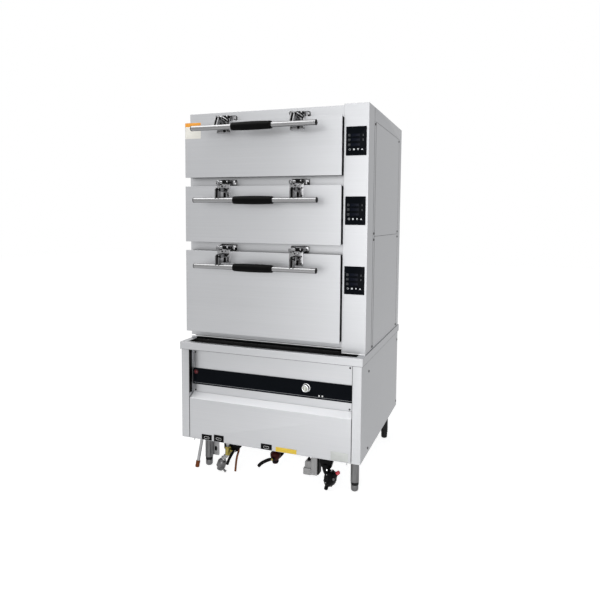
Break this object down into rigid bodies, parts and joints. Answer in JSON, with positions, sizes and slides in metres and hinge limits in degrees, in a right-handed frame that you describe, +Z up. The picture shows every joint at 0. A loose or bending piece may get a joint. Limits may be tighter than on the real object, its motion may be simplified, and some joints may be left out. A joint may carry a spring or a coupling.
{
  "type": "commercial gas steamer",
  "caption": "Upright stainless gas steaming cabinet: flip-up insulated doors with bar handles, side control column, boiler base with gutter, glass strip, gas fittings and legs.",
  "frame": {"origin": "on the floor, under the middle of the object's bounding box", "axes": "+Z up, +X to the right of someone who faces the doors, -Y towards that person"},
  "size_m": [1, 0.9588, 1.9],
  "materials": {
    "brushed_steel": "brushed stainless sheet",
    "liner_steel": "plain stainless sheet",
    "hardware_steel": "cast and tumbled stainless",
    "polished_steel": "polished",
    "black_rubber": "matt moulded rubber",
    "black_panel": "gloss black touch panel",
    "red_lens": "clear red lens",
    "brass": "as machined",
    "black_plastic": "dipped black",
    "black_casting": "painted casting",
    "cast_iron": "as cast",
    "grey_plastic": "extruded",
    "grey_housing": "satin grey",
    "red_plastic": "moulded"
  },
  "bodies": {
    "cabinet": {"base_casing": "brushed_steel", "deck": "brushed_steel", "front_fascia": "brushed_steel", "control_strip": "black_panel", "lower_panel": "brushed_steel", "pilot_lamp": "red_lens", "leg_front_left": "hardware_steel", "leg_front_right": "hardware_steel", "leg_back_left": "hardware_steel", "leg_back_right": "hardware_steel", "boiler": "liner_steel", "burner": "cast_iron", "overflow_pipe": "grey_plastic", "drain_valve": "brass", "gas_cock": "brass", "gas_solenoid": "grey_housing", "gas_regulator": "black_casting", "cabinet_shell": "brushed_steel", "side_panel_upper": "brushed_steel", "side_panel_lower": "brushed_steel", "front_frame": "brushed_steel", "control_column": "brushed_steel", "steam_riser": "liner_steel", "steam_chamber_1": "liner_steel", "steam_rack_1": "liner_steel", "display_1": "black_panel", "door_1_hinge_left": "hardware_steel", "door_1_hinge_right": "hardware_steel", "steam_chamber_2": "liner_steel", "steam_rack_2": "liner_steel", "display_2": "black_panel", "door_2_hinge_left": "hardware_steel", "door_2_hinge_right": "hardware_steel", "steam_chamber_3": "liner_steel", "steam_rack_3": "liner_steel", "display_3": "black_panel", "door_3_hinge_left": "hardware_steel", "door_3_hinge_right": "hardware_steel"},
    "door_1": {"door_1_panel": "brushed_steel", "door_1_gasket": "black_rubber", "door_1_leaf_left": "hardware_steel", "door_1_leaf_right": "hardware_steel"},
    "door_2": {"door_2_panel": "brushed_steel", "door_2_gasket": "black_rubber", "door_2_leaf_left": "hardware_steel", "door_2_leaf_right": "hardware_steel"},
    "door_3": {"door_3_panel": "brushed_steel", "door_3_gasket": "black_rubber", "door_3_leaf_left": "hardware_steel", "door_3_leaf_right": "hardware_steel"},
    "handle_1": {"door_1_handle": "polished_steel", "door_1_grip": "black_rubber"},
    "handle_2": {"door_2_handle": "polished_steel", "door_2_grip": "black_rubber"},
    "handle_3": {"door_3_handle": "polished_steel", "door_3_grip": "black_rubber"},
    "gas_knob": {"gas_knob": "polished_steel"},
    "drain_lever": {"drain_lever": "black_plastic"},
    "gas_cock_lever": {"gas_cock_lever": "black_plastic"},
    "regulator_knob": {"regulator_knob": "red_plastic"}
  },
  "joints": [
    {"name": "door_1_swing", "type": "hinge", "parent": "cabinet", "child": "door_1", "pos_m": [-0.062, -0.37058, 1.864], "axis": [-1, 0, 0], "range_deg": [0, 90]},
    {"name": "door_2_swing", "type": "hinge", "parent": "cabinet", "child": "door_2", "pos_m": [-0.062, -0.37058, 1.535], "axis": [-1, 0, 0], "range_deg": [0, 90]},
    {"name": "door_3_swing", "type": "hinge", "parent": "cabinet", "child": "door_3", "pos_m": [-0.062, -0.37058, 1.2], "axis": [-1, 0, 0], "range_deg": [0, 90]},
    {"name": "handle_1_lift", "type": "hinge", "parent": "door_1", "child": "handle_1", "pos_m": [-0.062, -0.38488, 1.826], "axis": [-1, 0, 0], "range_deg": [-24, 6]},
    {"name": "handle_2_lift", "type": "hinge", "parent": "door_2", "child": "handle_2", "pos_m": [-0.062, -0.38488, 1.497], "axis": [-1, 0, 0], "range_deg": [0, 30]},
    {"name": "handle_3_lift", "type": "hinge", "parent": "door_3", "child": "handle_3", "pos_m": [-0.062, -0.38488, 1.162], "axis": [-1, 0, 0], "range_deg": [0, 30]},
    {"name": "gas_knob_turn", "type": "hinge", "parent": "cabinet", "child": "gas_knob", "pos_m": [0.202, -0.37889, 0.515], "axis": [0, -1, 0], "range_deg": [0, 90]},
    {"name": "drain_lever_turn", "type": "hinge", "parent": "cabinet", "child": "drain_lever", "pos_m": [-0.213, -0.36258, 0.119], "axis": [1, 0, 0], "range_deg": [0, 90]},
    {"name": "gas_cock_lever_turn", "type": "hinge", "parent": "cabinet", "child": "gas_cock_lever", "pos_m": [0.024, -0.38659, 0.124], "axis": [0, -1, 0], "range_deg": [0, 90]},
    {"name": "regulator_knob_turn", "type": "hinge", "parent": "cabinet", "child": "regulator_knob", "pos_m": [0.334, -0.37258, 0.068], "axis": [0.7317, 0, 0.6816], "range_deg": [0, 180]}
  ]
}
